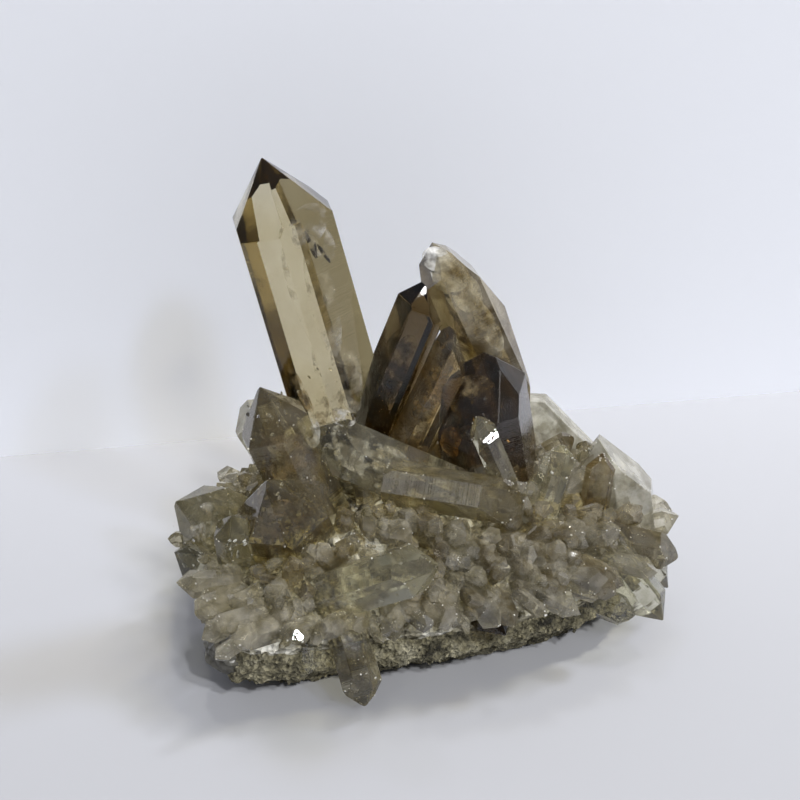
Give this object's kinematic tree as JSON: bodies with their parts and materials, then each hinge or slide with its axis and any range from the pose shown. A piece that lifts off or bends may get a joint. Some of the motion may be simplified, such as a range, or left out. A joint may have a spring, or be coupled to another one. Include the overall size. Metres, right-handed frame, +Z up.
{
  "type": "smoky quartz crystal cluster",
  "caption": "Smoky quartz crystal cluster: a tall pointed crystal and darker blades rise from a bed of small glassy points on a flat-bottomed piece of matrix rock.",
  "frame": {"origin": "middle of the flat patch under the rock that the cluster rests on", "axes": "+Z up, -Y towards the front, where the long clear crystal lies and one point hangs over the rock's edge; +X to the right of that view"},
  "size_m": [0.1054, 0.0836, 0.0928],
  "materials": {
    "smoky_quartz": "gloss",
    "matrix_rock": "matte"
  },
  "bodies": {
    "root": {"quartz_cluster": "smoky_quartz", "matrix": "matrix_rock"}
  },
  "joints": []
}
